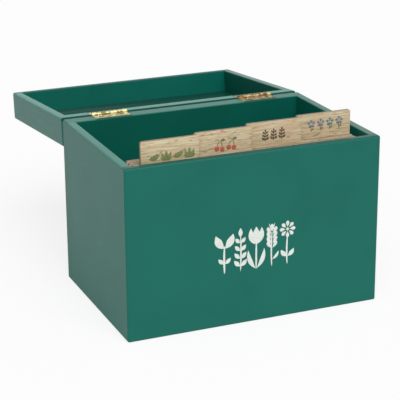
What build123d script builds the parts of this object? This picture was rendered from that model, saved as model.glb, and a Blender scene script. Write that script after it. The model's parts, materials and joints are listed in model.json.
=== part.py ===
from build123d import *
from math import acos, atan2, cos, degrees, hypot, radians, sin, tan
import os

# Garden seed box: a painted wooden box with a tray-like lid on two brass butt hinges, and four loose wooden
# index dividers. Millimetres, +Z up, +Y to the back. The origin is the centre of the box's footprint.
# The lid is modelled thrown open, as it hangs at rest, with its back edge against the back of the box.

os.makedirs("parts", exist_ok=True)

# ---- Box ----
box_width = 240.0
box_depth = 165.0
box_height = 156.0
side_thickness = 8.0  # left and right boards, of the box and of the lid
front_thickness = 7.0  # front boards, of the box and of the lid
back_thickness = 14.5  # back boards, of the box and of the lid, which carry the hinges
base_thickness = 6.0
edge_round = 2.0  # outer corners and edges, rounded over before painting
hinge_edge_round = 3.0  # the outer edges of the two rims that meet at the hinges
rim_round = 1.0  # inner edges of the rims

# ---- Lid ----
lid_height = 27.0
lid_top_thickness = 5.0
rim_gap = 0.6  # between the two rims when the lid is shut
stop_clearance = 0.2  # between the open lid's edge and the back of the box

# ---- Hinges ----
hinge_end_distance = 29.0  # from a side of the box to the nearer end of its hinge
hinge_length = 34.0
leaf_width = 12.0  # from the pin's axis to the leaf's edge
leaf_thickness = 1.2
leaf_corner = 0.6
knuckle_count = 5  # along the barrel: the box leaf has the odd ones, the lid leaf the even ones
knuckle_clearance = 0.2  # between neighbouring knuckles
barrel_radius = 2.0
pin_radius = 1.0
pin_clearance = 0.05
pin_head = 0.4  # domed length past each end of the barrel
pin_setback = 1.3  # from the back of the box to the pin's axis
leaf_fit = 0.1  # round each leaf in its recess
barrel_fit = 0.3  # round the barrel in its recess
leaf_to_barrel = 0.3  # between a leaf's edge and the other leaf's knuckles

# ---- Hinge screws ----
screw_spacing = 20.0
screw_from_pin = 7.0
screw_length = 12.7
screw_radius = 1.1
screw_head_radius = 2.1
screw_head_angle = 90.0
screw_head_sink = 0.1  # below the leaf's face
screw_tip = 2.0
screw_fit = 0.05
slot_width = 0.7
slot_depth = 0.6

# ---- Index dividers ----
divider_count = 4
divider_thickness = 3.0
divider_side_gap = 5.8  # to each side board
divider_floor_gap = 0.3
divider_rest_gaps = (6.0, 2.9, 4.0, 2.8)  # free space in front of each divider, front one first
shoulder_below_rim = 4.0
tab_above_rim = 17.4
tab_width = 53.1
tab_inset = 5.7  # from the left end to the first tab. The last tab is flush with the right end
tab_corner = 2.0
divider_edge_round = 0.4

# ---- Worked out from the sizes above ----
inner_width = box_width - 2 * side_thickness
inner_depth = box_depth - front_thickness - back_thickness
front_y = -box_depth / 2
back_y = box_depth / 2
side_x = (box_width - side_thickness) / 2
front_board_y = (front_thickness - box_depth) / 2
back_board_y = (box_depth - back_thickness) / 2
inner_y = (front_thickness - back_thickness) / 2  # the middle of the inside

pin_y = back_y + pin_setback
pin_z = box_height + rim_gap / 2

# The open lid turns past level until the rounded back edge of its top comes to the back of the box. Seen along
# the pin, the centre of that edge's round lies (edge_arm_y, edge_arm_z) from the pin while the lid lies level.
edge_arm_y = pin_setback + edge_round
edge_arm_z = rim_gap / 2 + lid_height - edge_round
edge_reach = edge_round + stop_clearance - pin_setback
lid_droop = acos(edge_reach / hypot(edge_arm_y, edge_arm_z)) - atan2(edge_arm_z, edge_arm_y)

# Both hinge frames have their origin on the pin's axis, X along it, Y into the wood and Z out of the rim.
box_frame = Plane(origin=(0, pin_y, pin_z), x_dir=(-1, 0, 0), z_dir=(0, 0, 1))
lid_frame = Plane(origin=(0, pin_y, pin_z), x_dir=(1, 0, 0), z_dir=(0, sin(lid_droop), cos(lid_droop)))
hinge_centre = box_width / 2 - hinge_end_distance - hinge_length / 2  # each side of the middle
rim_z = -rim_gap / 2  # each rim's height in its hinge frame
lid_middle_y = pin_setback + box_depth / 2  # the lid's middle in its frame
hinge_places = {"left": -hinge_centre, "right": hinge_centre}
notch_length = hinge_length + 2 * (pin_head + leaf_fit)
knuckle_pitch = hinge_length / knuckle_count
knuckle_length = knuckle_pitch - knuckle_clearance

# A countersunk head's cone narrows from its rim by this much for each millimetre down.
cone_slope = tan(radians(screw_head_angle / 2))
head_top_radius = screw_head_radius - screw_head_sink * cone_slope
head_height = (head_top_radius - screw_radius) / cone_slope

divider_width = inner_width - 2 * divider_side_gap
divider_foot_z = base_thickness + divider_floor_gap
shoulder_z = box_height - shoulder_below_rim
tab_top_z = box_height + tab_above_rim
tab_pitch = (divider_width - tab_inset - tab_width) / (divider_count - 1)


def save(piece, name):
    """Label a finished piece and write it as its own node."""
    piece.part.label = name
    export_step(piece.part, f"parts/{name}.step")


def shift(frame, x=0.0, y=0.0, z=0.0):
    """The same frame with its origin moved along its own axes."""
    return Plane(origin=frame.from_local_coords((x, y, z)), x_dir=frame.x_dir, z_dir=frame.z_dir)


def along_pin(frame, x):
    """A plane square to the pin's axis at x, with its own X into the wood and its own Z along the axis."""
    return Plane(origin=frame.from_local_coords((x, 0, 0)), x_dir=frame.y_dir, z_dir=frame.x_dir)


def round_over(form, hinge_face, up):
    """Round a sharp-edged form: first the rim's edge by the hinges, and then every edge that is still sharp."""
    fillet(hinge_face.edges().sort_by(up)[-1], hinge_edge_round)
    smooth = form.faces().filter_by(GeomType.CYLINDER).edges().filter_by(Axis.X)
    fillet([edge for edge in form.edges() if edge not in smooth], edge_round)


# ---- The box's four walls as one rounded-over form, before it is divided into boards ----
with BuildPart() as box_form:
    with BuildSketch():
        Rectangle(box_width, box_depth)
    extrude(amount=box_height)
    round_over(box_form, box_form.faces().sort_by(Axis.Y)[-1], Axis.Z)
    with BuildSketch():
        with Locations((0, inner_y)):
            Rectangle(inner_width, inner_depth)
    extrude(amount=box_height, mode=Mode.SUBTRACT)
    fillet(box_form.faces().sort_by(Axis.Z)[-1].inner_wires().edges(), rim_round)

# ---- The lid's tray as one rounded-over form, in the lid's frame, rim upwards ----
lid_up = Axis(lid_frame.origin, lid_frame.z_dir)
lid_outer = shift(lid_frame, y=lid_middle_y, z=rim_z - lid_height)
with BuildPart() as lid_form:
    with BuildSketch(lid_outer):
        Rectangle(box_width, box_depth)
    extrude(amount=lid_height)
    round_over(lid_form, lid_form.faces().sort_by(Axis(lid_frame.origin, lid_frame.y_dir))[0], lid_up)
    with BuildSketch(lid_outer):
        with Locations((0, -inner_y)):
            Rectangle(inner_width, inner_depth)
    extrude(amount=lid_height, mode=Mode.SUBTRACT)
    fillet(lid_form.faces().sort_by(lid_up)[-1].inner_wires().edges(), rim_round)


# ---- Hinge seats: what is cut from a board for each leaf, its barrel and its screws ----
def make_hinge_seat(hinge_frame):
    """The shape of one hinge's recess in a rim, with the screws' pilot holes."""
    with BuildPart() as seat:
        with BuildSketch(shift(hinge_frame, z=rim_z - leaf_thickness)):
            with Locations((0, (leaf_width + leaf_fit) / 2)):
                Rectangle(hinge_length + 2 * leaf_fit, leaf_width + leaf_fit)
        extrude(amount=leaf_thickness + rim_gap)
        with BuildSketch(along_pin(hinge_frame, -notch_length / 2)):
            Circle(barrel_radius + barrel_fit)
        extrude(amount=notch_length)
        with BuildSketch(shift(hinge_frame, y=screw_from_pin, z=rim_z - screw_length)):
            with GridLocations(screw_spacing, 0, 2, 1):
                Circle(screw_radius + screw_fit)
        extrude(amount=screw_length)
    return seat


# ---- Box boards: the front and back run the full width, and the sides and base fit between them ----
with BuildPart() as front_panel:
    add(box_form.part)
    with BuildSketch():
        with Locations((0, front_board_y)):
            Rectangle(box_width, front_thickness)
    extrude(amount=box_height, mode=Mode.INTERSECT)
save(front_panel, "front_panel")

with BuildPart() as back_panel:
    add(box_form.part)
    with BuildSketch():
        with Locations((0, back_board_y)):
            Rectangle(box_width, back_thickness)
    extrude(amount=box_height, mode=Mode.INTERSECT)
    for hinge_x in hinge_places.values():
        add(make_hinge_seat(shift(box_frame, x=-hinge_x)).part, mode=Mode.SUBTRACT)
save(back_panel, "back_panel")

for side, x in (("left", -side_x), ("right", side_x)):
    with BuildPart() as side_board:
        add(box_form.part)
        with BuildSketch():
            with Locations((x, inner_y)):
                Rectangle(side_thickness, inner_depth)
        extrude(amount=box_height, mode=Mode.INTERSECT)
    save(side_board, f"{side}_side")

with BuildPart() as base_panel:
    with BuildSketch():
        with Locations((0, inner_y)):
            Rectangle(inner_width, inner_depth)
    extrude(amount=base_thickness)
save(base_panel, "base_panel")

# ---- Lid boards, laid out as the box's ----
with BuildPart() as lid_front_rail:
    add(lid_form.part)
    with BuildSketch(lid_outer):
        with Locations((0, -front_board_y)):
            Rectangle(box_width, front_thickness)
    extrude(amount=lid_height, mode=Mode.INTERSECT)
save(lid_front_rail, "lid_front_rail")

with BuildPart() as lid_back_rail:
    add(lid_form.part)
    with BuildSketch(lid_outer):
        with Locations((0, -back_board_y)):
            Rectangle(box_width, back_thickness)
    extrude(amount=lid_height, mode=Mode.INTERSECT)
    for hinge_x in hinge_places.values():
        add(make_hinge_seat(shift(lid_frame, x=hinge_x)).part, mode=Mode.SUBTRACT)
save(lid_back_rail, "lid_back_rail")

for side, x in (("left", -side_x), ("right", side_x)):
    with BuildPart() as lid_side_rail:
        add(lid_form.part)
        with BuildSketch(lid_outer):
            with Locations((x, -inner_y)):
                Rectangle(side_thickness, inner_depth)
        extrude(amount=lid_height, mode=Mode.INTERSECT)
    save(lid_side_rail, f"lid_{side}_rail")

with BuildPart() as lid_top_panel:
    with BuildSketch(lid_outer):
        with Locations((0, -inner_y)):
            Rectangle(inner_width, inner_depth)
    extrude(amount=lid_top_thickness)
save(lid_top_panel, "lid_top_panel")

# ---- Hinge leaves ----
def knuckle_start(index):
    """Where a knuckle begins along the pin's axis. The first one is number 0."""
    return (index - knuckle_count / 2) * knuckle_pitch + knuckle_clearance / 2


def make_leaf(hinge_frame, first_knuckle):
    """A leaf with every second knuckle, from the first one given."""
    own = range(first_knuckle, knuckle_count, 2)
    other = range(1 - first_knuckle, knuckle_count, 2)
    with BuildPart() as leaf:
        with BuildSketch(shift(hinge_frame, z=rim_z - leaf_thickness)):
            with Locations((0, leaf_width / 2)):
                Rectangle(hinge_length, leaf_width)
        extrude(amount=leaf_thickness)
        upright = leaf.edges().filter_by(Axis(hinge_frame.origin, hinge_frame.z_dir))
        fillet(upright.sort_by(Axis(hinge_frame.origin, hinge_frame.y_dir))[-2:], leaf_corner)
        for index in own:
            with BuildSketch(along_pin(hinge_frame, knuckle_start(index))):
                Circle(barrel_radius)
            extrude(amount=knuckle_length)
        for index in other:
            with BuildSketch(along_pin(hinge_frame, knuckle_start(index) - knuckle_clearance)):
                Circle(barrel_radius + leaf_to_barrel)
            extrude(amount=knuckle_length + 2 * knuckle_clearance, mode=Mode.SUBTRACT)
        with BuildSketch(along_pin(hinge_frame, -hinge_length)):
            Circle(pin_radius + pin_clearance)
        extrude(amount=2 * hinge_length, mode=Mode.SUBTRACT)
        with Locations(shift(hinge_frame, y=screw_from_pin, z=rim_z)):
            with GridLocations(screw_spacing, 0, 2, 1):
                CounterSinkHole(
                    radius=screw_radius + screw_fit,
                    counter_sink_radius=screw_head_radius + screw_fit,
                    depth=leaf_thickness,
                    counter_sink_angle=screw_head_angle,
                )
    return leaf


def make_screws(hinge_frame):
    """The two screws of a leaf, heads sunk just below its face."""
    with BuildPart() as screws:
        for x in (-screw_spacing / 2, screw_spacing / 2):
            head_frame = shift(hinge_frame, x, screw_from_pin, rim_z - screw_head_sink)
            tip_z = screw_head_sink - screw_length
            profile_frame = Plane(head_frame.origin, x_dir=head_frame.x_dir, z_dir=-head_frame.y_dir)
            with BuildSketch(profile_frame):
                with BuildLine():
                    Polyline(
                        (0, 0),
                        (head_top_radius, 0),
                        (screw_radius, -head_height),
                        (screw_radius, tip_z + screw_tip),
                        (0, tip_z),
                        close=True,
                    )
                make_face()
            revolve(axis=Axis(head_frame.origin, head_frame.z_dir))
            with BuildSketch(head_frame):
                Rectangle(2 * screw_head_radius, slot_width, rotation=25 * x)
            extrude(amount=-slot_depth, mode=Mode.SUBTRACT)
    return screws


def make_pin(hinge_frame):
    """The pin, with a shallow dome past each end of the barrel."""
    with BuildPart() as pin:
        with BuildSketch(along_pin(hinge_frame, -hinge_length / 2 - pin_head)):
            Circle(pin_radius)
        extrude(amount=hinge_length + 2 * pin_head)
        fillet(pin.edges().filter_by(GeomType.CIRCLE), pin_head)
    return pin


for side, hinge_x in hinge_places.items():
    box_hinge = shift(box_frame, x=-hinge_x)
    lid_hinge = shift(lid_frame, x=hinge_x)
    save(make_leaf(box_hinge, 0), f"{side}_hinge_body_leaf")
    save(make_leaf(lid_hinge, 1), f"{side}_hinge_lid_leaf")
    save(make_pin(lid_hinge), f"{side}_hinge_pin")
    save(make_screws(box_hinge), f"{side}_hinge_body_screws")
    save(make_screws(lid_hinge), f"{side}_hinge_lid_screws")

# ---- Index dividers ----
divider_front = front_y + front_thickness
for number in range(divider_count):
    divider_front += divider_rest_gaps[number]
    tab_left = tab_inset - divider_width / 2 + number * tab_pitch
    with BuildPart() as divider:
        with BuildSketch(Plane.XZ.offset(-divider_front)) as outline:
            with Locations((0, divider_foot_z)):
                Rectangle(divider_width, shoulder_z - divider_foot_z, align=(Align.CENTER, Align.MIN))
            with Locations((tab_left, divider_foot_z)):
                Rectangle(tab_width, tab_top_z - divider_foot_z, align=(Align.MIN, Align.MIN))
            fillet(outline.vertices(), tab_corner)
        extrude(amount=-divider_thickness)
        fillet(divider.faces().filter_by(Axis.Y).edges(), divider_edge_round)
    save(divider, f"index_divider_{number + 1}")
    divider_front += divider_thickness

print(f"lid rests {degrees(lid_droop):.3f} degrees past level, pin at y {pin_y:.3f}, z {pin_z:.3f}")
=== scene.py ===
"""Looks of the garden seed box: paint, bare wood, brass and brushed plants on its CAD frame, in a studio.

Sizes are in millimetres until they reach a mesh, a texture or the camera, where MM turns them to metres. A
pattern's size is the width of one of its marks. The frame has its origin under the middle of the box, +Z up
and +Y to the back.
"""

import json
import logging
import math
from collections.abc import Callable
from dataclasses import dataclass, replace
from enum import Enum

import bmesh
import bpy
from mathutils import Matrix, Vector


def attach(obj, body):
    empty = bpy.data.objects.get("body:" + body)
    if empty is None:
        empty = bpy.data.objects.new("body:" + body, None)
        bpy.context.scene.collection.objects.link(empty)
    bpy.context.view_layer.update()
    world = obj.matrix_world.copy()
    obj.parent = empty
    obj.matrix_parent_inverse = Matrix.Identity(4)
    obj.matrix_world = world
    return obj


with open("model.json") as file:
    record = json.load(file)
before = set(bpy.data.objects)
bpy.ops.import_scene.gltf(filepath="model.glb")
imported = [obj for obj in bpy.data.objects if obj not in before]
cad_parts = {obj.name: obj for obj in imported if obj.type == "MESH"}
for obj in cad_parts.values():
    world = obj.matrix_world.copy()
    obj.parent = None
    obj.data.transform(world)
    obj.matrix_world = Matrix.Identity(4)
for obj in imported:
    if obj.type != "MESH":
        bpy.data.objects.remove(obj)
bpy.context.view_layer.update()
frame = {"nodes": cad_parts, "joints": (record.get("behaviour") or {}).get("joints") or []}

log = logging.getLogger("seed_box")

MM = 0.001

# The inputs of a Mix node of colours: the second colour's share, and then the two colours.
SHARE, FIRST, SECOND = 0, 6, 7

# How the place on a piece is squeezed so that a pattern runs along an axis.
ALONG_X = (0.06, 1.0, 1.0)
ALONG_Y = (1.0, 0.06, 1.0)

# The frame gives its joints' places in metres and their ranges in degrees.
LID_HINGE = next(joint for joint in frame["joints"] if joint["name"] == "lid_hinge")


class Axis(Enum):
    """An axis of the frame, with the number of its coordinate."""

    X = 0
    Y = 1
    Z = 2


@dataclass(frozen=True)
class Span:
    """How far something reaches along one axis."""

    low: float
    high: float

    @property
    def middle(self) -> float:
        """Returns the coordinate halfway along."""
        return (self.low + self.high) / 2

    @property
    def half(self) -> float:
        """Returns half of the length."""
        return (self.high - self.low) / 2


def span(node: str, axis: Axis, above: float = -math.inf) -> Span:
    """Measures a CAD node along an axis.

    Args:
        node: The node's name.
        axis: The axis.
        above: The height above which the node's corners count.

    Returns:
        How far the node reaches, to a micrometre.
    """
    corners = [vertex.co / MM for vertex in frame["nodes"][node].data.vertices]
    reach = [round(corner[axis.value], 3) for corner in corners if corner.z > above]
    return Span(min(reach), max(reach))


def linear(hex_colour: str) -> tuple[float, float, float, float]:
    """Turns an sRGB hex colour into linear RGBA, by the curve of the sRGB standard.

    Args:
        hex_colour: Six hex digits after a hash sign.

    Returns:
        Red, green, blue and an alpha of 1.
    """
    channels = (int(hex_colour[i : i + 2], 16) / 255 for i in (1, 3, 5))
    red, green, blue = (c / 12.92 if c <= 0.04045 else ((c + 0.055) / 1.055) ** 2.4 for c in channels)
    return red, green, blue, 1.0


def cells(size: float) -> float:
    """Returns the texture scale, in cells per metre, of a pattern whose cells are size millimetres across."""
    return 1 / (size * MM)


def limits(source: tuple[float, float], target: tuple[float, float] = (0.0, 1.0)) -> dict[str, float]:
    """Returns the inputs of a Map Range node that takes the two values of source to those of target."""
    return {"From Min": source[0], "From Max": source[1], "To Min": target[0], "To Max": target[1]}


def add_node(
    tree: bpy.types.NodeTree, kind: str, inputs: dict[str | int, object] | None = None, **settings: object
) -> bpy.types.Node:
    """Adds a shader node, sets its properties and fills its inputs.

    Args:
        tree: The node tree.
        kind: The node's type name, after the ShaderNode that each of them starts with.
        inputs: What goes into each input, by its name or number: a value, a socket, or a node for its result.
        settings: The node's own properties.

    Returns:
        The new node.
    """
    node = tree.nodes.new(f"ShaderNode{kind}")
    for name, value in settings.items():
        setattr(node, name, value)
    for key, value in (inputs or {}).items():
        if isinstance(value, bpy.types.Node):
            value = next(socket for socket in value.outputs if socket.enabled)
        if isinstance(value, bpy.types.NodeSocket):
            tree.links.new(value, node.inputs[key])
        else:
            node.inputs[key].default_value = value
    return node


def add_piece(mesh: bmesh.types.BMesh, name: str, *materials: bpy.types.Material) -> bpy.types.Object:
    """Makes a finished mesh an object of the scene, at the origin.

    Args:
        mesh: The mesh, which is freed.
        name: The object's name.
        materials: Its materials, in the order of the faces' material numbers.

    Returns:
        The new object.
    """
    data = bpy.data.meshes.new(name)
    mesh.to_mesh(data)
    mesh.free()
    for material in materials:
        data.materials.append(material)
    piece = bpy.data.objects.new(name, data)
    bpy.context.scene.collection.objects.link(piece)
    log.info("%s: %d faces", name, len(data.polygons))
    return piece


def turned(degrees: float, axis: str) -> Matrix:
    """Returns a turn about an axis."""
    return Matrix.Rotation(math.radians(degrees), 4, axis)


@dataclass(frozen=True)
class Finish:
    """A surface finish. Each kind of finish adds its own nodes in shade."""

    name: str

    def material(self) -> bpy.types.Material:
        """Builds the finish's material the first time that it is asked for.

        Returns:
            The material.
        """
        known = bpy.data.materials.get(self.name)
        if known:
            return known
        material = bpy.data.materials.new(self.name)
        material.use_nodes = True
        material.node_tree.nodes.clear()
        self.shade(material.node_tree)
        return material

    def shade(self, tree: bpy.types.NodeTree) -> None:
        """Adds the finish's nodes to an empty tree."""
        raise NotImplementedError

    def dress(self, *nodes: str) -> None:
        """Gives the material to CAD nodes.

        Args:
            nodes: The nodes' names.
        """
        for node in nodes:
            for slot in frame["nodes"][node].material_slots:
                slot.material = self.material()
            log.info("%s wears %s", node, self.name)


@dataclass(frozen=True)
class Tint:
    """A colour that comes in over another one between two levels of a pattern, up to its cover."""

    colour: str
    levels: tuple[float, float]
    cover: float = 1.0

    def add_over(
        self,
        tree: bpy.types.NodeTree,
        pattern: bpy.types.Node,
        under: bpy.types.Node | tuple[float, float, float, float],
    ) -> bpy.types.Node:
        """Adds the tint to a finish.

        Args:
            tree: The finish's nodes.
            pattern: The node that gives the pattern.
            under: The colour that the tint comes in over.

        Returns:
            The node that gives the tinted colour.
        """
        share = add_node(tree, "MapRange", {"Value": pattern, **limits(self.levels, (0.0, self.cover))})
        tint = linear(self.colour)
        return add_node(tree, "Mix", {SHARE: share, FIRST: under, SECOND: tint}, data_type="RGBA")


@dataclass(frozen=True)
class RimPaintedShade:
    """Painted shade where the rims meet: in the groove along the hinge pins, and past the ends of the leaves.
    """

    colour: str = "#054438"
    sheen: float = 0.1  # the specular level in the painted shade, lowered to dim the reflection there
    groove: tuple[float, float] = (4.3, 3.4)  # how far from the pins' line it starts, and where it is full
    groove_cover: float = 0.95
    leaf_margin: float = 0.4  # how far it reaches past the ends of each leaf
    leaf_cover: float = 0.9

    def add_cover(
        self, tree: bpy.types.NodeTree, place: bpy.types.NodeSocket, on_rim: bpy.types.Node
    ) -> bpy.types.Node:
        """Adds how far the painted shade covers the enamel.

        Args:
            tree: The enamel's nodes.
            place: The socket that gives the place on the board.
            on_rim: The node that gives how far the surface faces out of the rim.

        Returns:
            The node that gives the cover.
        """
        _, pin_y, pin_z = LID_HINGE["pos_m"]
        from_pins = add_node(
            tree,
            "VectorMath",
            {0: place, 1: (0.0, 1.0, 1.0), 2: (0.0, -pin_y, -pin_z)},
            operation="MULTIPLY_ADD",
        )
        away = add_node(tree, "VectorMath", {0: from_pins}, operation="LENGTH")
        start, full = (distance * MM for distance in self.groove)
        # Painted shade in the groove between the two rims, darkest near the pins' line.
        shade_in_groove = add_node(
            tree, "MapRange", {"Value": away, **limits((start, full), (0.0, self.groove_cover))}
        )

        # Painted shade on the rims just past each end of a leaf.
        # The two hinges stand alike on both sides of X = 0.
        leaf = span("right_hinge_body_leaf", Axis.X)
        reach = leaf.half + self.leaf_margin
        across = add_node(tree, "SeparateXYZ", {0: place})
        outward = add_node(tree, "Math", {0: across.outputs["X"]}, operation="ABSOLUTE")
        beside = add_node(tree, "Math", {0: outward, 1: leaf.middle * MM, 2: reach * MM}, operation="COMPARE")
        rim_beside = add_node(tree, "Math", {0: beside, 1: on_rim}, operation="MULTIPLY")
        shade_past_leaves = add_node(tree, "Math", {0: rim_beside, 1: self.leaf_cover}, operation="MULTIPLY")
        return add_node(tree, "Math", {0: shade_in_groove, 1: shade_past_leaves}, operation="MAXIMUM")


@dataclass(frozen=True)
class SatinEnamel(Finish):
    """Satin enamel brushed over sanded board: an even deep green, with faint brush lines that blur its gloss.

    Faces that look out of the rim take another green in smears along the board. A paler one is painted sheen
    with some rubbing, and a darker one is painted shade.
    """

    light: str = "#046659"
    dark: str = "#046256"
    patch: float = 60.0
    patch_levels: tuple[float, float] = (0.38, 0.62)  # the noise levels between which dark turns to light
    inside: str | None = None  # a darker green for faces that look out of the rim, as painted shade; only the lid's floor has it
    # The rim's green: where paler, painted sheen with some rubbing; where darker, painted shade.
    wear_and_light_green: str = "#3F8073"
    wear_and_light_cover: tuple[float, float] = (0.85, 1.0)  # how far the rim's green covers, at its thinnest and thickest
    smear: float = 6.0
    smear_levels: tuple[float, float] = (0.4, 0.6)
    fade: tuple[float, float] | None = None  # the X where the rim's green starts to fade, and where it ends
    rim_lean: float = 0.0  # how far the direction out of the rim leans to the back, in degrees
    rim_facing: tuple[float, float] = (0.4, 0.85)  # how squarely a face looks that way, where the rim's green starts and where it is full
    # Painted shade at the hinges, on the boards that have it.
    hinge_shade: RimPaintedShade | None = None
    stretch: tuple[float, float, float] = ALONG_X  # which way the brush lines and the smears run
    line: float = 1.4  # a brush line, coarser than the real 0.5 or so, to let it show
    line_levels: tuple[float, float] = (0.3, 0.7)
    peel: float = 1.5
    relief: float = 0.005
    gloss: tuple[float, float] = (0.36, 0.42)
    sheen: float = 0.5  # the specular level of the enamel outside the painted shade
    index: float = 1.34

    def shade(self, tree: bpy.types.NodeTree) -> None:
        """Adds two close greens in broad patches, painted light and wear on the rims, painted shade at the
        hinges, brush lines and orange peel.

        Args:
            tree: The empty tree.
        """
        coordinates = add_node(tree, "TexCoord")
        place = coordinates.outputs["Object"]
        along = add_node(tree, "Mapping", {"Vector": place, "Scale": self.stretch})
        on_rim = self.add_on_rim(tree, coordinates.outputs["Normal"])
        coat = self.add_coat(tree, place, on_rim)
        # The rim's green: painted sheen with some rubbing, and on the front boards painted shade.
        wear_and_light_cover = self.add_wear_and_light(tree, place, along, on_rim)
        wear_and_light_green = linear(self.wear_and_light_green)
        colour = add_node(tree, "Mix", {SHARE: wear_and_light_cover, FIRST: coat, SECOND: wear_and_light_green}, data_type="RGBA")
        sheen: float | bpy.types.Node = self.sheen
        # Painted shade at the hinges: a darker green, with a lower specular level that dims the reflection.
        if self.hinge_shade:
            cover = self.hinge_shade.add_cover(tree, place, on_rim)
            hinge_shade = linear(self.hinge_shade.colour)
            colour = add_node(tree, "Mix", {SHARE: cover, FIRST: colour, SECOND: hinge_shade}, data_type="RGBA")
            sheen = add_node(
                tree, "MapRange", {"Value": cover, "To Min": self.sheen, "To Max": self.hinge_shade.sheen}
            )
        lines = add_node(tree, "TexNoise", {"Vector": along, "Scale": cells(self.line), "Detail": 2.0})
        peel = add_node(tree, "TexNoise", {"Vector": place, "Scale": cells(self.peel), "Detail": 0.0})
        relief = add_node(tree, "Math", {0: lines, 1: peel}, operation="ADD")
        bump = add_node(tree, "Bump", {"Strength": 0.35, "Distance": self.relief * MM, "Height": relief})
        gloss = add_node(tree, "MapRange", {"Value": lines, **limits(self.line_levels, self.gloss)})
        shader = add_node(
            tree,
            "BsdfPrincipled",
            {
                "Base Color": colour,
                "Roughness": gloss,
                "IOR": self.index,
                "Specular IOR Level": sheen,
                "Normal": bump,
            },
        )
        add_node(tree, "OutputMaterial", {"Surface": shader})

    def add_on_rim(self, tree: bpy.types.NodeTree, normal: bpy.types.NodeSocket) -> bpy.types.Node:
        """Adds how far the surface faces out of the rim.

        Args:
            tree: The finish's nodes.
            normal: The socket that gives the surface's direction.

        Returns:
            The node that gives 1 on the rim and 0 where no wear reaches.
        """
        lean = math.radians(self.rim_lean)
        out_of_rim = (0.0, math.sin(lean), math.cos(lean))
        facing = add_node(tree, "VectorMath", {0: normal, 1: out_of_rim}, operation="DOT_PRODUCT")
        return add_node(tree, "MapRange", {"Value": facing, **limits(self.rim_facing)})

    def add_coat(
        self, tree: bpy.types.NodeTree, place: bpy.types.NodeSocket, on_rim: bpy.types.Node
    ) -> bpy.types.Node:
        """Adds the colour of the clean coat.

        Args:
            tree: The finish's nodes.
            place: The socket that gives the place on the board.
            on_rim: The node that gives how far the surface faces out of the rim.

        Returns:
            The node that gives the colour.
        """
        patches = add_node(tree, "TexNoise", {"Vector": place, "Scale": cells(self.patch), "Detail": 3.0})
        coat = Tint(self.light, self.patch_levels).add_over(tree, patches, linear(self.dark))
        if not self.inside:
            return coat
        inside = linear(self.inside)
        return add_node(tree, "Mix", {SHARE: on_rim, FIRST: coat, SECOND: inside}, data_type="RGBA")

    def add_wear_and_light(
        self,
        tree: bpy.types.NodeTree,
        place: bpy.types.NodeSocket,
        along: bpy.types.Node,
        on_rim: bpy.types.Node,
    ) -> bpy.types.Node:
        """Adds how far the rim's green of painted light and wear covers the coat.

        Args:
            tree: The finish's nodes.
            place: The socket that gives the place on the board.
            along: The node that gives the place, squeezed along the board.
            on_rim: The node that gives how far the surface faces out of the rim.

        Returns:
            The node that gives the cover of the rim's green.
        """
        smears = add_node(tree, "TexNoise", {"Vector": along, "Scale": cells(self.smear), "Detail": 2.0})
        cover = add_node(tree, "MapRange", {"Value": smears, **limits(self.smear_levels, self.wear_and_light_cover)})
        # Across X the rim's green fades out: on the lid's floor, a painted reflection that is paler to the
        # left.
        if self.fade:
            start, end = (x * MM for x in self.fade)
            across = add_node(tree, "SeparateXYZ", {0: place})
            kept = add_node(tree, "MapRange", {"Value": across.outputs["X"], **limits((end, start))})
            cover = add_node(tree, "Math", {0: cover, 1: kept}, operation="MULTIPLY")
        return add_node(tree, "Math", {0: on_rim, 1: cover}, operation="MULTIPLY")


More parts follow.
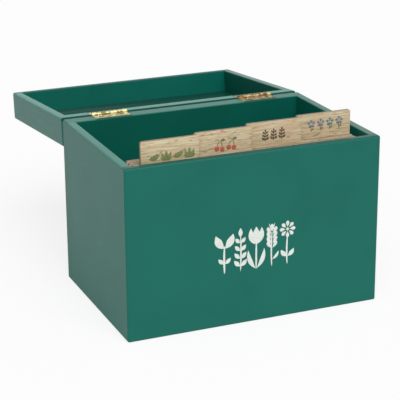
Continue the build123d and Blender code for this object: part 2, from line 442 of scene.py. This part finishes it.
@dataclass(frozen=True)
class BirchPly(Finish):
    """Laser-cut birch plywood, sanded and bare: pale grain, short flecks, and cut edges browned by heat."""

    front: float = 0.0  # the Y of the sheet's front face, where its first layer starts
    deep: str = "#BEA880"
    pale: Tint = Tint("#E0CFAF", (0.36, 0.64))
    pink: Tint = Tint("#D9B89B", (0.52, 0.7), 0.6)
    green: Tint = Tint("#C8C59D", (0.48, 0.32), 0.5)
    dark_fleck: Tint = Tint("#85683F", (0.66, 0.76), 0.6)
    scorch: str = "#857466"
    glue: str = "#483B34"
    glue_line: tuple[float, float] = (0.78, 0.95)  # where it starts and is full, as shares of a layer
    cut_facing: tuple[float, float] = (0.97, 0.6)  # how squarely a face looks forward, sanded and then cut
    scorch_cover: float = 0.88
    grain: float = 1.1
    fibre: float = 0.4  # coarser than the real 0.1 or so, to let it show
    grain_stretch: tuple[float, float, float] = (0.05, 1.0, 1.0)
    fleck: float = 0.9
    fleck_stretch: tuple[float, float, float] = (0.14, 1.0, 1.0)
    patch: float = 17.0
    layer: float = 1.0
    relief: float = 0.05
    gloss: tuple[float, float] = (0.55, 0.75)
    index: float = 1.5

    def shade(self, tree: bpy.types.NodeTree) -> None:
        """Adds the sanded faces, the browned cut edges and the relief of the fibres.

        Args:
            tree: The empty tree.
        """
        coordinates = add_node(tree, "TexCoord")
        place = coordinates.outputs["Object"]
        along = add_node(tree, "Mapping", {"Vector": place, "Scale": self.grain_stretch})
        facing = add_node(tree, "SeparateXYZ", {0: coordinates.outputs["Normal"]})
        square_on = add_node(tree, "Math", {0: facing.outputs["Y"]}, operation="ABSOLUTE")
        cut = add_node(
            tree, "MapRange", {"Value": square_on, **limits(self.cut_facing, (0.0, self.scorch_cover))}
        )
        face = self.add_face(tree, place, along)
        edge = self.add_cut_edge(tree, place)
        colour = add_node(tree, "Mix", {SHARE: cut, FIRST: face, SECOND: edge}, data_type="RGBA")
        fibre = add_node(tree, "TexNoise", {"Vector": along, "Scale": cells(self.fibre), "Detail": 1.0})
        bump = add_node(tree, "Bump", {"Strength": 0.4, "Distance": self.relief * MM, "Height": fibre})
        gloss = add_node(tree, "MapRange", {"Value": fibre, "To Min": self.gloss[0], "To Max": self.gloss[1]})
        shader = add_node(
            tree,
            "BsdfPrincipled",
            {"Base Color": colour, "Roughness": gloss, "IOR": self.index, "Normal": bump},
        )
        add_node(tree, "OutputMaterial", {"Surface": shader})

    def add_face(
        self, tree: bpy.types.NodeTree, place: bpy.types.NodeSocket, along: bpy.types.Node
    ) -> bpy.types.Node:
        """Adds the colour of the sanded faces: grain along the sheet, tinted patches and flecks.

        Args:
            tree: The finish's nodes.
            place: The socket that gives the place on the sheet.
            along: The node that gives the place, squeezed along the grain.

        Returns:
            The node that gives the colour.
        """
        grain = add_node(
            tree, "TexNoise", {"Vector": along, "Scale": cells(self.grain), "Detail": 3.0, "Distortion": 0.4}
        )
        tints = add_node(tree, "TexNoise", {"Vector": place, "Scale": cells(self.patch), "Detail": 2.0})
        short = add_node(tree, "Mapping", {"Vector": place, "Scale": self.fleck_stretch})
        flecks = add_node(tree, "TexNoise", {"Vector": short, "Scale": cells(self.fleck), "Detail": 0.0})
        colour = self.pale.add_over(tree, grain, linear(self.deep))
        for tint, pattern in ((self.pink, tints), (self.green, tints), (self.dark_fleck, flecks)):
            colour = tint.add_over(tree, pattern, colour)
        return colour

    def add_cut_edge(self, tree: bpy.types.NodeTree, place: bpy.types.NodeSocket) -> bpy.types.Node:
        """Adds the colour of the cut edges: scorched layers with a dark line of glue between them.

        Args:
            tree: The finish's nodes.
            place: The socket that gives the place on the sheet.

        Returns:
            The node that gives the colour.
        """
        layers = add_node(tree, "Mapping", {"Vector": place, "Location": (0.0, -self.front * MM, 0.0)})
        depth = add_node(tree, "SeparateXYZ", {0: layers})
        layer = self.layer * MM
        steps = add_node(tree, "Math", {0: depth.outputs["Y"], 1: layer, 2: 0.0}, operation="PINGPONG")
        start, full = (share * layer for share in self.glue_line)
        return Tint(self.glue, (start, full)).add_over(tree, steps, linear(self.scorch))


@dataclass(frozen=True)
class PolishedBrass(Finish):
    """Rolled and polished brass that has begun to dull: bright gold with brown tarnish in soft spots."""

    bright: str = "#D4CB9C"
    tarnish: str = "#6C5F2E"
    levels: tuple[float, float] = (0.48, 0.66)  # the noise levels between which tarnish comes in
    spot: float = 4.0
    line: float = 0.35  # a rolled line, coarser than the real 0.05 or so, to let it show
    line_stretch: tuple[float, float, float] = ALONG_X
    relief: float = 0.02
    gloss: tuple[float, float] = (0.4, 0.55)

    def shade(self, tree: bpy.types.NodeTree) -> None:
        """Adds tarnish in soft spots over rolled lines that run along the hinge.

        Args:
            tree: The empty tree.
        """
        place = add_node(tree, "TexCoord").outputs["Object"]
        spots = add_node(
            tree, "TexNoise", {"Vector": place, "Scale": cells(self.spot), "Detail": 3.0, "Distortion": 0.6}
        )
        aged = add_node(tree, "MapRange", {"Value": spots, **limits(self.levels)})
        bright, tarnish = linear(self.bright), linear(self.tarnish)
        colour = add_node(tree, "Mix", {SHARE: aged, FIRST: bright, SECOND: tarnish}, data_type="RGBA")
        along = add_node(tree, "Mapping", {"Vector": place, "Scale": self.line_stretch})
        lines = add_node(tree, "TexNoise", {"Vector": along, "Scale": cells(self.line)})
        bump = add_node(tree, "Bump", {"Strength": 0.25, "Distance": self.relief * MM, "Height": lines})
        gloss = add_node(tree, "MapRange", {"Value": aged, "To Min": self.gloss[0], "To Max": self.gloss[1]})
        shader = add_node(
            tree,
            "BsdfPrincipled",
            {"Base Color": colour, "Metallic": 1.0, "Roughness": gloss, "Normal": bump},
        )
        add_node(tree, "OutputMaterial", {"Surface": shader})


@dataclass(frozen=True)
class BrushPaint(Finish):
    """Thin matt craft paint put on with a brush: flat colour, with some of the ground showing in streaks."""

    colour: str = "#F0F2EC"
    ground: str = "#0E6B5B"
    cover: float = 0.9  # how far the paint covers the ground where it is thickest
    thin: float = 0.5  # how far the ground shows where the paint is thinnest
    streak: float = 0.9
    streak_levels: tuple[float, float] = (0.45, 0.75)
    relief: float = 0.03
    roughness: float = 0.6
    index: float = 1.45

    def shade(self, tree: bpy.types.NodeTree) -> None:
        """Adds the paint's colour with streaks where the coat is thin.

        Args:
            tree: The empty tree.
        """
        place = add_node(tree, "TexCoord").outputs["Object"]
        streaks = add_node(
            tree, "TexNoise", {"Vector": place, "Scale": cells(self.streak), "Detail": 3.0, "Roughness": 0.7}
        )
        bare = add_node(
            tree, "MapRange", {"Value": streaks, **limits(self.streak_levels, (1 - self.cover, self.thin))}
        )
        paint, ground = linear(self.colour), linear(self.ground)
        colour = add_node(tree, "Mix", {SHARE: bare, FIRST: paint, SECOND: ground}, data_type="RGBA")
        bump = add_node(tree, "Bump", {"Strength": 0.3, "Distance": self.relief * MM, "Height": streaks})
        shader = add_node(
            tree,
            "BsdfPrincipled",
            {"Base Color": colour, "Roughness": self.roughness, "IOR": self.index, "Normal": bump},
        )
        add_node(tree, "OutputMaterial", {"Surface": shader})


def share_seen(tree: bpy.types.NodeTree, direct: float, mirrored: float) -> bpy.types.Node:
    """Adds a share that goes by what sees the surface. It is 0 for the light that falls on the object.

    Args:
        tree: The nodes of the finish or the surround.
        direct: The share for a ray from the camera or through glass.
        mirrored: The share for a reflection.

    Returns:
        The node that gives the share.
    """
    rays = add_node(tree, "LightPath").outputs
    straight, through = rays["Is Camera Ray"], rays["Is Transmission Ray"]
    clear = add_node(tree, "Math", {0: straight, 1: through}, operation="MAXIMUM")
    seen = add_node(tree, "Math", {0: clear, 1: direct}, operation="MULTIPLY")
    reflected = add_node(tree, "Math", {0: rays["Is Glossy Ray"], 1: mirrored}, operation="MULTIPLY")
    return add_node(tree, "Math", {0: seen, 1: reflected}, operation="MAXIMUM")


@dataclass(frozen=True)
class FloorPaper(Finish):
    """Matt white background paper. The camera sees it nearly pure white, with the object's soft shadow."""

    colour: str = "#F9F9F8"
    lift: float = 0.8  # how far pure white covers the paper's shading where the camera sees it
    mirrored_lift: float = 0.0  # the same where a reflection sees it

    def shade(self, tree: bpy.types.NodeTree) -> None:
        """Adds the matt paper, and the white that covers it where it is seen.

        Args:
            tree: The empty tree.
        """
        paper = add_node(tree, "BsdfDiffuse", {"Color": linear(self.colour)})
        white = add_node(tree, "Emission")
        share = share_seen(tree, self.lift, self.mirrored_lift)
        mix = add_node(tree, "MixShader", {0: share, 1: paper, 2: white})
        add_node(tree, "OutputMaterial", {"Surface": mix})


class StrokeShape(Enum):
    """How a brush stroke's width runs from its start to its end.

    The first number draws the widest place towards the stroke's end, where it is above 1. The second number
    blunts both ends, where it is below 1.
    """

    LEAF = (1.0, 1.0)
    DROP = (1.7, 0.7)
    LINE = (1.0, 0.3)

    def width_at(self, t: float) -> float:
        """Gives the width at a place along the stroke.

        Args:
            t: The place, from 0 at the start to 1 at the end.

        Returns:
            The share of the full width.
        """
        towards_end, point = self.value
        return max(math.sin(math.pi * t**towards_end), 0.0) ** point


POLE_RADIUS = 1e-6  # a corner of the ball that is this close to its axis is at its pole


@dataclass(frozen=True)
class Stroke:
    """One brush stroke on an upright face, in mm from the foot of its plant.

    It starts at (x, y) and runs at angle, in degrees from the right, with its middle bend mm to its left.
    """

    x: float
    y: float
    angle: float
    length: float
    width: float
    bend: float = 0.0
    shape: StrokeShape = StrokeShape.LEAF
    second: bool = False  # painted in the mark's second colour

    def mirrored(self) -> "Stroke":
        """Returns the stroke's mirror image about the plant's own upright line."""
        return replace(self, x=-self.x, angle=180 - self.angle, bend=-self.bend)

    def moved(self, x: float, y: float, size: float = 1.0) -> "Stroke":
        """Returns the stroke drawn at another size and then moved by (x, y)."""
        length, width, bend = (value * size for value in (self.length, self.width, self.bend))
        return replace(self, x=self.x * size + x, y=self.y * size + y, length=length, width=width, bend=bend)

    def add_to(self, mesh: bmesh.types.BMesh, face_y: float, film: float, sink: float) -> None:
        """Adds the stroke as a closed lens of paint: a ball that is drawn out along the stroke's curved line.

        Args:
            mesh: The mark's mesh.
            face_y: The painted face's Y. The face looks to -Y.
            film: The paint's thickness at the middle of the stroke.
            sink: How far the paint's back lies inside the face.
        """
        ball = bmesh.ops.create_uvsphere(mesh, u_segments=12, v_segments=14, radius=1.0)["verts"]
        heading = math.radians(self.angle)
        ahead = Vector((math.cos(heading), 0.0, math.sin(heading)))
        left = Vector((-ahead.z, 0.0, ahead.x))
        start = Vector((self.x, face_y, self.y))
        for vertex in ball:
            t = 1 - math.acos(max(-1.0, min(1.0, vertex.co.z))) / math.pi
            radius = math.hypot(vertex.co.x, vertex.co.y)
            is_pole = radius <= POLE_RADIUS
            across, out = (0.0, 0.0) if is_pole else (vertex.co.x / radius, vertex.co.y / radius)
            wide = 0.0 if is_pole else self.shape.width_at(t)
            line = start + ahead * (self.length * t) + left * (4 * self.bend * t * (1 - t))
            lean = 4 * self.bend * (1 - 2 * t) / self.length
            square = (left - lean * ahead).normalized()
            proud = out * film * math.sqrt(wide) if out > 0 else out * sink
            vertex.co = (line + square * (across * wide * self.width / 2) + Vector((0.0, -proud, 0.0))) * MM
        for face in {face for vertex in ball for face in vertex.link_faces}:
            face.material_index = int(self.second)
            face.smooth = True


Plant = Callable[[], list[Stroke]]


def both_sides(*strokes: Stroke) -> list[Stroke]:
    """Returns the strokes and their mirror images."""
    return [side for stroke in strokes for side in (stroke, stroke.mirrored())]


def petal_ring(
    count: int, first: float, height: float, hub: float, length: float, width: float
) -> list[Stroke]:
    """Draws the petals of a flower that is seen from the front.

    Args:
        count: How many petals there are.
        first: The first one's angle, in degrees from the right.
        height: The height of the flower's middle above the plant's foot.
        hub: How far from the middle each petal starts.
        length: A petal's length.
        width: A petal's width.

    Returns:
        The petals.
    """
    petals = []
    for k in range(count):
        angle = first + k * 360 / count
        x = hub * math.cos(math.radians(angle))
        y = height + hub * math.sin(math.radians(angle))
        petals.append(Stroke(x, y, angle, length, width, 0.0, StrokeShape.DROP))
    return petals


def seedling() -> list[Stroke]:
    """Draws a seedling with two large seed leaves and two small ones.

    Returns:
        Its strokes.
    """
    return [
        Stroke(0.0, 0.0, 90, 30.0, 2.2, 0.5, StrokeShape.LINE),
        *both_sides(Stroke(0.3, 27.0, 58, 17.0, 8.0, -1.6), Stroke(0.2, 11.0, 42, 8.5, 4.2, -0.6)),
    ]


def leafy_sprig() -> list[Stroke]:
    """Draws an upright sprig with leaves in pairs.

    Returns:
        Its strokes.
    """
    pairs = [Stroke(0.2, 6.0 + 8.2 * k, 46, 9.4 - 0.7 * k, 4.6 - 0.2 * k, -0.6) for k in range(4)]
    return [
        Stroke(0.0, 0.0, 90, 38.0, 1.8, -0.5, StrokeShape.LINE),
        Stroke(0.0, 36.0, 90, 10.0, 4.6),
        *both_sides(*pairs),
    ]


def tulip() -> list[Stroke]:
    """Draws a tulip with a closed flower and two long leaves.

    Returns:
        Its strokes.
    """
    return [
        Stroke(0.0, 0.0, 90, 29.0, 2.0, 0.0, StrokeShape.LINE),
        Stroke(0.0, 26.0, 90, 19.0, 8.4),
        *both_sides(Stroke(0.4, 1.0, 68, 22.0, 5.0, -2.4), Stroke(0.8, 26.5, 74, 18.0, 6.6, -1.8)),
    ]


def wheat_ear() -> list[Stroke]:
    """Draws an ear of wheat with its beard and one leaf.

    Returns:
        Its strokes.
    """
    grains = [Stroke(0.4, 20.0 + 5.0 * k, 60, 8.6, 4.0, -0.7, StrokeShape.DROP) for k in range(4)]
    return [
        Stroke(0.0, 0.0, 90, 38.0, 1.7, 0.6, StrokeShape.LINE),
        Stroke(0.0, 37.0, 90, 8.5, 4.2, 0.0, StrokeShape.DROP),
        Stroke(0.2, 8.0, 50, 11.0, 3.2, -1.4),
        *both_sides(*grains, Stroke(0.6, 38.0, 72, 8.5, 0.9, 0.0, StrokeShape.LINE)),
    ]


def daisy() -> list[Stroke]:
    """Draws a daisy with eight petals and two leaves.

    Returns:
        Its strokes.
    """
    return [
        Stroke(0.0, 0.0, 90, 31.0, 1.9, 0.7, StrokeShape.LINE),
        Stroke(-1.7, 37.5, 0, 3.4, 3.4),
        *both_sides(Stroke(0.3, 9.0, 48, 10.0, 4.8, -1.0)),
        *petal_ring(count=8, first=0.0, height=37.5, hub=2.2, length=6.6, width=3.9),
    ]


def pea_pod() -> list[Stroke]:
    """Draws a small pea pod with its stalk and peas.

    Returns:
        Its strokes.
    """
    peas = [
        Stroke(-3.6 + 2.4 * k, 4.1 + 0.95 * k, 20, 2.0, 2.0, 0.0, StrokeShape.LEAF, True) for k in range(3)
    ]
    return [
        Stroke(-5.6, 3.0, 20, 11.0, 4.4, -1.0),
        Stroke(4.4, 6.8, 50, 3.2, 0.9, 0.0, StrokeShape.LINE),
        *peas,
    ]


def leaf_tuft() -> list[Stroke]:
    """Draws a small tuft of leaves.

    Returns:
        Its strokes.
    """
    return [
        Stroke(0.0, 0.0, 90, 9.6, 3.0),
        *both_sides(Stroke(0.2, 0.4, 62, 8.6, 2.8, -0.6), Stroke(0.3, 0.4, 32, 6.0, 2.2, -0.4)),
    ]


def cherries() -> list[Stroke]:
    """Draws two cherries on their stalks, with a leaf.

    Returns:
        Their strokes.
    """
    return [
        Stroke(-4.6, 2.4, 0, 4.6, 4.6, 0.0, StrokeShape.LINE),
        Stroke(0.4, 1.7, 0, 4.4, 4.4, 0.0, StrokeShape.LINE),
        Stroke(-2.2, 4.4, 58, 5.6, 0.8, 0.5, StrokeShape.LINE, True),
        Stroke(2.6, 3.7, 105, 5.6, 0.8, -0.4, StrokeShape.LINE, True),
        Stroke(0.9, 8.8, 12, 5.0, 2.4, 0.5, StrokeShape.LEAF, True),
    ]


def thyme_sprig() -> list[Stroke]:
    """Draws a small sprig of thyme.

    Returns:
        Its strokes.
    """
    leaves = [Stroke(0.1, 1.8 + 2.9 * k, 40, 4.2 - 0.5 * k, 2.1 - 0.2 * k, -0.3) for k in range(3)]
    return [
        Stroke(0.0, 0.0, 90, 9.4, 0.9, 0.2, StrokeShape.LINE),
        Stroke(0.0, 8.6, 90, 3.0, 1.7),
        *both_sides(*leaves),
    ]


def five_petal_flower() -> list[Stroke]:
    """Draws a small flower of five petals on a stalk, with a leaf.

    Returns:
        Its strokes.
    """
    return [
        Stroke(0.0, 0.0, 90, 6.6, 0.9, 0.3, StrokeShape.LINE, True),
        Stroke(0.1, 1.4, 40, 3.4, 1.5, 0.0, StrokeShape.LEAF, True),
        *petal_ring(count=5, first=18.0, height=7.4, hub=0.6, length=3.2, width=2.7),
    ]


@dataclass(frozen=True)
class BrushedMark:
    """A row of painted plants, as a thin closed film on an upright face."""

    name: str
    body: str
    slot: str
    strokes: tuple[Stroke, ...]
    face_y: float
    paints: tuple[Finish, ...]
    film: float = 0.1
    sink: float = 0.02
    step: float = 0.004  # how much thicker each stroke is than the last, so that crossing strokes don't tie
    steps: int = 6  # after which the film starts again at its thinnest

    def build(self) -> bpy.types.Object:
        """Builds the mark and lets it ride on its body.

        Returns:
            The mark's object.
        """
        mesh = bmesh.new()
        for number, stroke in enumerate(self.strokes):
            stroke.add_to(mesh, self.face_y, self.film + self.step * (number % self.steps), self.sink)
        bmesh.ops.recalc_face_normals(mesh, faces=mesh.faces)
        piece = add_piece(mesh, self.name, *(paint.material() for paint in self.paints))
        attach(piece, self.body)
        log.info("%s: %d strokes on %s", self.name, len(self.strokes), self.body)
        return piece


# Each board's coat. The side boards are brushed from front to back, with a gloss that is a little more even.
# Rim greens: the paler ones are painted sheen with some rubbing.
RUBBED_AND_SHEEN_GREEN = "#2F7063"
PALE_RUBBED_AND_SHEEN_GREEN = "#468A7C"
SIDE_BRUSHING = {"stretch": ALONG_Y, "gloss": (0.38, 0.41), "relief": 0.0025}
# The front board's rim green is darker than its coat: painted shade where the dividers stand behind the rim.
ENAMEL_FRONT = SatinEnamel("satin_enamel_front", wear_and_light_green="#035046")
# The back board's greens are a little darker than the others: painted shade on the back wall inside the box.
ENAMEL_BACK = SatinEnamel(
    "satin_enamel_back", light="#056153", dark="#055D50", wear_and_light_green=RUBBED_AND_SHEEN_GREEN, hinge_shade=RimPaintedShade()
)
ENAMEL_BASE = SatinEnamel("satin_enamel_base", wear_and_light_green=RUBBED_AND_SHEEN_GREEN)
ENAMEL_LEFT = SatinEnamel("satin_enamel_left", **SIDE_BRUSHING)
ENAMEL_RIGHT = SatinEnamel("satin_enamel_right", wear_and_light_green="#45736A", **SIDE_BRUSHING)

# The open lid hangs just past level, so its rim looks a little to the back.
LID_LEAN = LID_HINGE["range_deg"][1] - 180
LID_BACK = SatinEnamel("lid_enamel_by_hinges", wear_and_light_green=PALE_RUBBED_AND_SHEEN_GREEN, rim_lean=LID_LEAN, hinge_shade=RimPaintedShade())
LID_FRONT = SatinEnamel("lid_enamel_front", wear_and_light_green="#0A4A3E", rim_lean=LID_LEAN)
LID_LEFT = SatinEnamel("lid_enamel_left", wear_and_light_green=PALE_RUBBED_AND_SHEEN_GREEN, rim_lean=LID_LEAN, stretch=ALONG_Y)
# The lid's right rail has darker greens than the other boards: painted shade.
LID_RIGHT = SatinEnamel(
    "lid_enamel_right",
    light="#04594C",
    dark="#045549",
    wear_and_light_green="#4F7D75",
    rim_lean=LID_LEAN,
    stretch=ALONG_Y,
)
# The lid's floor: a darker green on its upward face is painted shade, and grey smears that fade out from left
# to right are a painted reflection.
LID_FLOOR = SatinEnamel(
    "lid_floor_enamel",
    inside="#033B32",
    wear_and_light_green="#35554C",
    wear_and_light_cover=(0.25, 0.85),
    smear=9.0,
    fade=(-50.0, 40.0),
    rim_lean=LID_LEAN,
)

GOLD_BRASS = PolishedBrass("polished_brass")
DULL_BRASS = PolishedBrass(
    "dulled_brass", bright="#C3AF84", tarnish="#6E5630", levels=(0.38, 0.62), gloss=(0.48, 0.65)
)
# The screws' brass is nearly black-brown: tarnish, darkened further as painted shade in their slots and
# recesses.
SHADED_SCREW_BRASS = PolishedBrass("shaded_screw_brass", bright="#4C3D1E", tarnish="#221A0C", levels=(0.4, 0.6), spot=1.6)


@dataclass
class PaintedBoards:
    """Boards that each have their own coat."""

    coats: tuple[tuple[Finish, str], ...]

    def dress(self) -> None:
        """Paints the boards."""
        for coat, board in self.coats:
            coat.dress(board)


@dataclass
class PaintedBox(PaintedBoards):
    """The box: its painted boards, and five plants brushed on the front."""

    coats: tuple[tuple[Finish, str], ...] = (
        (ENAMEL_FRONT, "front_panel"),
        (ENAMEL_BACK, "back_panel"),
        (ENAMEL_BASE, "base_panel"),
        (ENAMEL_LEFT, "left_side"),
        (ENAMEL_RIGHT, "right_side"),
    )
    plants: tuple[Plant, ...] = (seedling, leafy_sprig, tulip, wheat_ear, daisy)
    plant_foot: float = 49.0
    plant_pitch: float = 15.0
    plant_size: float = 0.88
    white: Finish = BrushPaint("white_craft_paint")

    def brush_plants(self) -> None:
        """Builds the row of plants on the front, about the front's middle."""
        face_y = span("front_panel", Axis.Y).low
        first_x = span("front_panel", Axis.X).middle - (len(self.plants) - 1) / 2 * self.plant_pitch
        for number, plant in enumerate(self.plants):
            x = first_x + number * self.plant_pitch
            strokes = tuple(stroke.moved(x, self.plant_foot, self.plant_size) for stroke in plant())
            name = f"front_sprig_{number + 1}"
            BrushedMark(name, "box", "painted_board", strokes, face_y, (self.white,)).build()


@dataclass
class PaintedLid(PaintedBoards):
    """The tray-like lid, painted as the box is."""

    coats: tuple[tuple[Finish, str], ...] = (
        (LID_FLOOR, "lid_top_panel"),
        (LID_FRONT, "lid_front_rail"),
        (LID_BACK, "lid_back_rail"),
        (LID_LEFT, "lid_left_rail"),
        (LID_RIGHT, "lid_right_rail"),
    )


@dataclass
class ButtHinge:
    """One brass butt hinge with its four screws."""

    side: str
    brass: Finish

    def dress(self) -> None:
        """Gives the leaves, the pin and the screws their brass."""
        self.brass.dress(*(f"{self.side}_hinge_{piece}" for piece in ("body_leaf", "lid_leaf", "pin")))
        SHADED_SCREW_BRASS.dress(*(f"{self.side}_hinge_{piece}" for piece in ("body_screws", "lid_screws")))


@dataclass
class IndexDivider:
    """A thin plywood divider, and the row of small plants brushed on its tab.

    With each plant goes its foot's place: how far right of the tab's middle, and how far below its top.
    """

    number: int
    plants: tuple[tuple[Plant, float, float], ...]
    paints: tuple[Finish, ...]
    tab_sample: float = 0.1  # how far down from its top the tab's width is measured

    @property
    def node(self) -> str:
        """Returns the name of the divider's CAD node."""
        return f"index_divider_{self.number}"

    @property
    def front_y(self) -> float:
        """Returns the Y of the divider's front face."""
        return span(self.node, Axis.Y).low

    def dress(self) -> None:
        """Gives the divider its plywood."""
        BirchPly(f"birch_ply_{self.number}", front=self.front_y).dress(self.node)

    def brush_tab(self) -> None:
        """Builds the plants on the tab."""
        top = span(self.node, Axis.Z).high
        middle = span(self.node, Axis.X, above=top - self.tab_sample).middle
        strokes = tuple(
            stroke.moved(middle + right, top - down)
            for plant, right, down in self.plants
            for stroke in plant()
        )
        name, body = f"tab_mark_{self.number}", f"divider_{self.number}"
        BrushedMark(name, body, "divider_wood", strokes, self.front_y, self.paints).build()


def index_dividers() -> list[IndexDivider]:
    """Sets out the four dividers, each tab with its own kind of plant.

    Returns:
        The dividers from front to back.
    """
    wood = "#D6BE99"
    olive = BrushPaint("olive_craft_paint", colour="#6C7F42", ground=wood, cover=0.95)
    moss = BrushPaint("moss_craft_paint", colour="#4E6234", ground=wood, cover=0.95)
    red = BrushPaint("red_craft_paint", colour="#C24A38", ground=wood, cover=0.95)
    umber = BrushPaint("umber_craft_paint", colour="#2C251D", ground=wood, cover=0.97)
    slate = BrushPaint("slate_blue_craft_paint", colour="#527688", ground=wood, cover=0.95)
    pods_and_tufts = (
        (pea_pod, -14.05, 19.2),
        (leaf_tuft, -3.55, 19.0),
        (pea_pod, 7.45, 19.0),
        (leaf_tuft, 17.45, 18.8),
    )
    pairs = ((cherries, -3.75, 18.8), (cherries, 7.25, 18.5))
    sprigs = ((thyme_sprig, -8.45, 18.2), (thyme_sprig, -0.35, 18.0), (thyme_sprig, 7.55, 17.8))
    blooms = (
        (five_petal_flower, -12.15, 16.6),
        (five_petal_flower, -2.95, 16.2),
        (five_petal_flower, 6.15, 16.2),
        (five_petal_flower, 15.35, 16.0),
    )
    rows = (
        (pods_and_tufts, (olive, moss)),
        (pairs, (red, moss)),
        (sprigs, (umber,)),
        (blooms, (slate, moss)),
    )
    return [IndexDivider(number, plants, paints) for number, (plants, paints) in enumerate(rows, start=1)]


@dataclass
class Studio:
    """A pale paper floor, an even white surround and one wide soft lamp."""

    floor_reach: float = 3000.0
    paper: Finish = FloorPaper("pale_studio_floor")
    surround: float = 0.33  # the strength of the surround's light, where 1 is white
    lamp: float = 2.4  # the lamp's strength
    lamp_spread: float = 50.0  # how wide the lamp looks from the box, in degrees
    lamp_tilt: float = 37.0  # its place, in degrees from overhead to the front
    lamp_turn: float = -8.0  # and then about the upright, here a little to the left

    def build(self) -> None:
        """Builds the floor, the surround and the lamp."""
        self.build_floor()
        self.build_surround()
        self.build_lamp()

    def build_floor(self) -> None:
        """Builds the floor as one wide flat face."""
        mesh = bmesh.new()
        bmesh.ops.create_grid(mesh, x_segments=1, y_segments=1, size=self.floor_reach * MM)
        floor = add_piece(mesh, "studio_floor", self.paper.material())

    def build_surround(self) -> None:
        """Builds the world: white where it is seen, and dimmer as a light."""
        world = bpy.data.worlds.new("studio_surround")
        world.use_nodes = True
        tree = world.node_tree
        tree.nodes.clear()
        seen = share_seen(tree, direct=1.0, mirrored=1.0)
        strength = add_node(tree, "MapRange", {"Value": seen, "To Min": self.surround, "To Max": 1.0})
        sky = add_node(tree, "Background", {"Color": (1.0, 1.0, 1.0, 1.0), "Strength": strength})
        add_node(tree, "OutputWorld", {"Surface": sky})
        bpy.context.scene.world = world

    def build_lamp(self) -> None:
        """Builds the wide soft lamp, high in front of the box."""
        data = bpy.data.lights.new("soft_lamp", "SUN")
        data.energy = self.lamp
        data.angle = math.radians(self.lamp_spread)
        lamp = bpy.data.objects.new("soft_lamp", data)
        lamp.matrix_world = turned(self.lamp_turn, "Z") @ turned(self.lamp_tilt, "X")
        bpy.context.scene.collection.objects.link(lamp)


@dataclass
class PhotoCamera:
    """The camera at the photograph's viewing angle, for a square frame."""

    eye: tuple[float, float, float] = (-510.6, -1180.0, 531.7)
    heading: float = 22.65  # degrees from the back towards the right
    pitch: float = -19.084
    roll: float = -0.394
    lens: float = 134.2
    sensor: float = 36.0
    nearest: float = 50.0
    farthest: float = 20000.0

    def build(self) -> None:
        """Builds the camera and makes it the scene's own."""
        data = bpy.data.cameras.new("photo_camera")
        data.lens = self.lens
        data.sensor_width = self.sensor
        data.clip_start = self.nearest * MM
        data.clip_end = self.farthest * MM
        camera = bpy.data.objects.new("photo_camera", data)
        place = Matrix.Translation(Vector(self.eye) * MM)
        aim = turned(-self.heading, "Z") @ turned(90 + self.pitch, "X") @ turned(self.roll, "Z")
        camera.matrix_world = place @ aim
        bpy.context.scene.collection.objects.link(camera)
        bpy.context.scene.camera = camera


def main() -> None:
    """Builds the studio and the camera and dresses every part."""
    logging.basicConfig(level=logging.INFO, format="%(name)s: %(message)s")
    bpy.context.scene.view_settings.view_transform = "Standard"
    Studio().build()
    PhotoCamera().build()
    box = PaintedBox()
    box.dress()
    box.brush_plants()
    PaintedLid().dress()
    for hinge in (ButtHinge("left", GOLD_BRASS), ButtHinge("right", DULL_BRASS)):
        hinge.dress()
    for divider in index_dividers():
        divider.dress()
        divider.brush_tab()


if __name__ == "__main__":
    main()
